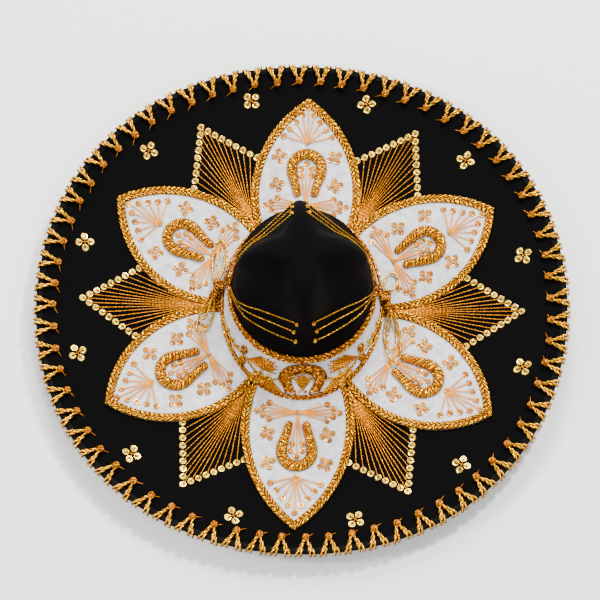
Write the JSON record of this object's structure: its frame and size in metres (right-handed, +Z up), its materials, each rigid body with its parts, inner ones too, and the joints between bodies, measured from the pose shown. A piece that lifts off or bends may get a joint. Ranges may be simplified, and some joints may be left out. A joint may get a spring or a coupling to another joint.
{
  "type": "sombrero",
  "caption": "Wide velvet-covered hat with a pinched crown and upturned brim, trimmed with felt petals, gold braid, sequins, padded horseshoes and cord bows",
  "frame": {"origin": "middle of the rest plane under the brim, at the centre of the hat's own box", "axes": "+Z up, -Y the hat's front, +X the hat's right as seen from the front"},
  "size_m": [0.5352, 0.5232, 0.1454],
  "materials": {
    "stiff_form": "matt pressed fibre",
    "velvet": "black cotton velvet with a soft sheen",
    "lining": "black satin",
    "sweatband_leather": "smooth dark leather",
    "tape": "woven cotton tape",
    "wire": "drawn wire",
    "binding": "ribbed tape",
    "felt": "brushed white felt",
    "gold_braid": "metallic gold braid",
    "gold_padding": "padded metallic gold thread work",
    "gold_thread": "shiny gold thread",
    "copper_thread": "shiny orange gold thread",
    "gold_sequin": "metallic pale gold",
    "copper_sequin": "metallic copper",
    "gold_cord": "twisted metallic gold cord"
  },
  "bodies": {
    "root": {"crown_form": "stiff_form", "crown_velvet": "velvet", "crown_lining": "lining", "sweatband": "sweatband_leather", "head_opening_tape": "tape", "brim_form": "stiff_form", "brim_velvet": "velvet", "brim_lining": "lining", "rim_wire": "wire", "rim_binding": "binding", "rim_lacing": "gold_braid", "petal_front": "felt", "petal_front_right": "felt", "petal_back_right": "felt", "petal_back": "felt", "petal_back_left": "felt", "petal_front_left": "felt", "braid_front": "gold_braid", "braid_front_right": "gold_braid", "braid_back_right": "gold_braid", "braid_back": "gold_braid", "braid_back_left": "gold_braid", "braid_front_left": "gold_braid", "horseshoe_front": "gold_padding", "horseshoe_front_right": "gold_padding", "horseshoe_back_right": "gold_padding", "horseshoe_back": "gold_padding", "horseshoe_back_left": "gold_padding", "horseshoe_front_left": "gold_padding", "fan_threads_front_left": "gold_thread", "fan_threads_front_right": "gold_thread", "fan_threads_right": "gold_thread", "fan_threads_back_right": "gold_thread", "fan_threads_back_left": "gold_thread", "fan_threads_left": "gold_thread", "fan_sequins": "gold_sequin", "brim_flowers": "gold_sequin", "petal_flowers": "copper_sequin", "petal_sprays": "copper_thread", "petal_sequins": "copper_sequin", "crown_band": "felt", "band_braid_top": "gold_braid", "band_braid_bottom": "gold_braid", "band_horseshoe": "gold_padding", "band_threads": "copper_thread", "band_sequins": "copper_sequin", "scroll_cord_left": "gold_cord", "scroll_cord_right": "gold_cord", "rosette_left": "gold_cord", "rosette_right": "gold_cord", "crown_cords": "gold_cord", "crown_cord_knots": "gold_cord", "bow_knot_left": "gold_cord", "bow_knot_right": "gold_cord", "bow_loops_left": "gold_cord", "bow_loops_right": "gold_cord"}
  },
  "joints": []
}
